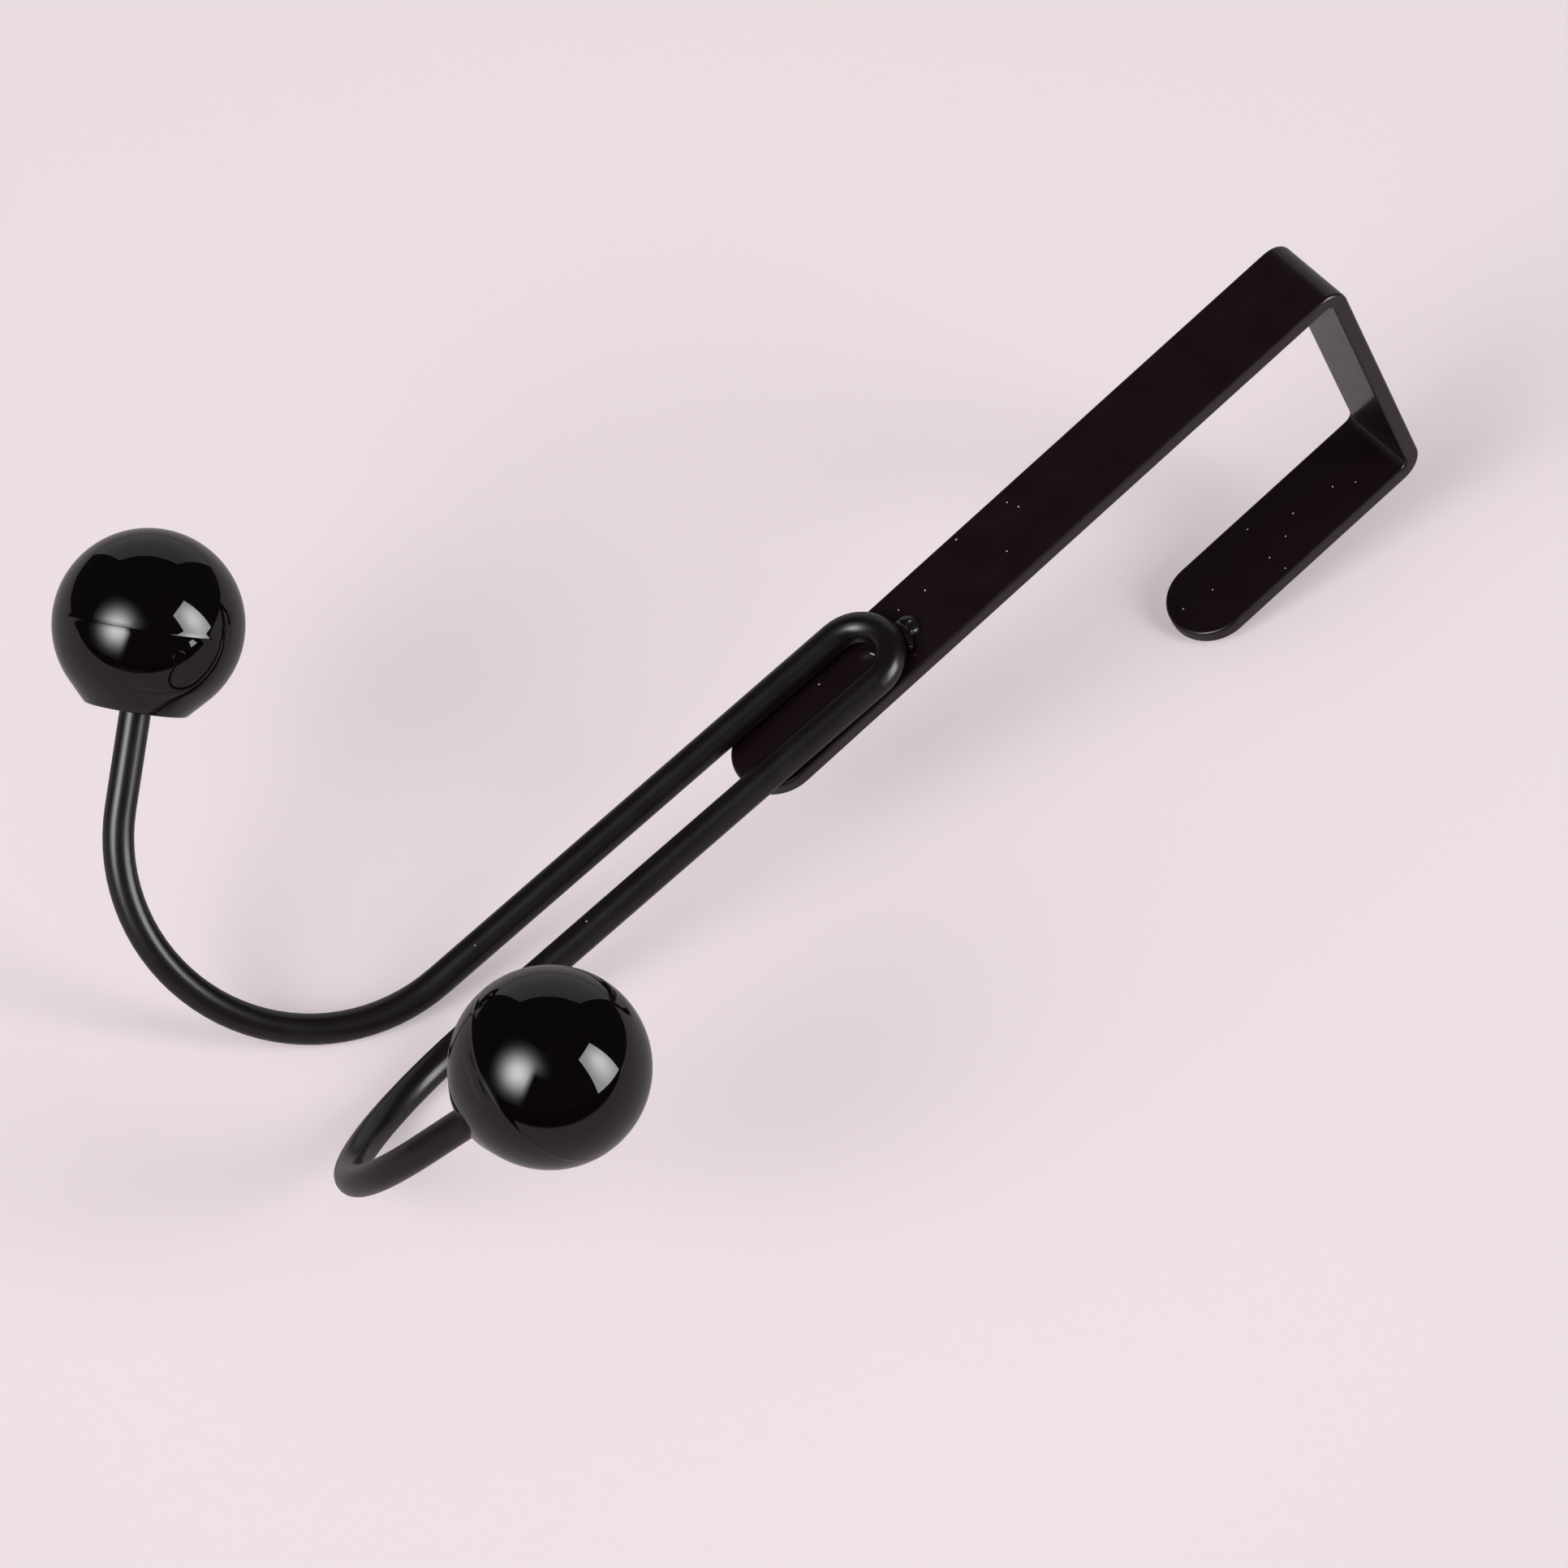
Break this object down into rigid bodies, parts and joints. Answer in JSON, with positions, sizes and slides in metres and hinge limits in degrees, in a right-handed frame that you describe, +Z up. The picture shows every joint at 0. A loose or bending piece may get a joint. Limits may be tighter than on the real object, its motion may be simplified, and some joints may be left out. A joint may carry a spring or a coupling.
{
  "type": "over door hook",
  "caption": "Over door hook: a flat strap bent to a square U that hangs on a door's top edge, with a wire hairpin welded on its front whose splayed ends turn up into ball knobs.",
  "frame": {"origin": "the middle of the bridge's underside, where the strap rests on the door's top edge", "axes": "+Z up, as the hook hangs; +Y through the door, from the side with the hooks to the short back leg; X along the door"},
  "size_m": [0.114, 0.1012, 0.1726],
  "materials": {
    "strap_coat": "semi-gloss black powder coat",
    "wire_coat": "semi-gloss black powder coat",
    "weld_coat": "semi-gloss black powder coat over a weld nodule",
    "knob_left_plastic": "gloss black moulded plastic",
    "knob_right_plastic": "gloss black moulded plastic"
  },
  "bodies": {
    "root": {"door_strap": "strap_coat", "hook_wire": "wire_coat", "weld_bead": "weld_coat", "ball_knob_left": "knob_left_plastic", "ball_knob_right": "knob_right_plastic"}
  },
  "joints": []
}
